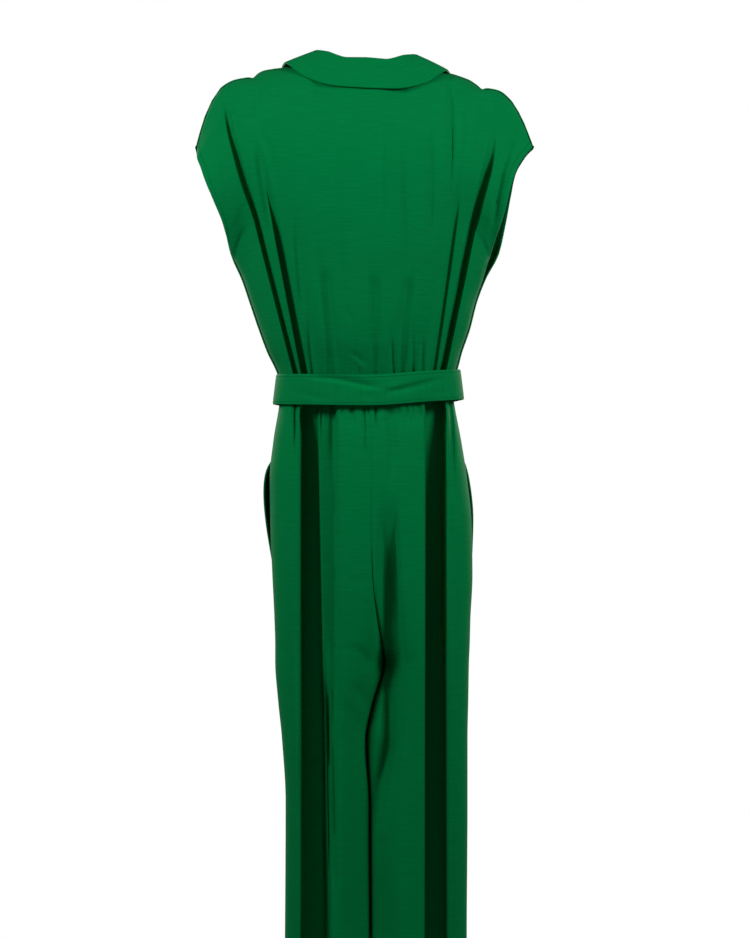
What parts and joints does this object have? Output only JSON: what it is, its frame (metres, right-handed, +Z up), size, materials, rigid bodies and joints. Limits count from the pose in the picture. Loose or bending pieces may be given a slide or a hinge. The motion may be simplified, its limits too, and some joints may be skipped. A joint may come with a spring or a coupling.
{
  "type": "jumpsuit",
  "caption": "Sleeveless wide-leg jumpsuit of plain green cloth, with a turned-down collar, crossed fronts, cap sleeves, gathered waist, tie belt and side pockets.",
  "frame": {"origin": "between the two shoulder seams at the base of the neck, in the middle of the garment's depth, where the wearer's shoulders hold it", "axes": "+Z up, +X to the wearer's left, -Y to the wearer's front"},
  "size_m": [0.4602, 0.2408, 1.4611],
  "materials": {
    "shell_cloth": "light woven cloth with a fine crosswise slub, dull sheen",
    "collar_cloth": "the same cloth, doubled and pressed",
    "pocket_cloth": "the same cloth, in the shade of the pocket",
    "belt_cloth": "the same cloth cut across, its fine ribs upright, top-stitched"
  },
  "bodies": {
    "root": {"bodice_back": "shell_cloth", "bodice_front_left": "shell_cloth", "bodice_front_right": "shell_cloth", "collar": "collar_cloth", "leg_back_left": "shell_cloth", "leg_back_right": "shell_cloth", "leg_front_left": "shell_cloth", "leg_front_right": "shell_cloth", "pocket_bag_left": "pocket_cloth", "pocket_bag_right": "pocket_cloth", "belt_band": "belt_cloth", "belt_knot": "belt_cloth", "belt_tail_left": "belt_cloth", "belt_tail_right": "belt_cloth"}
  },
  "joints": []
}
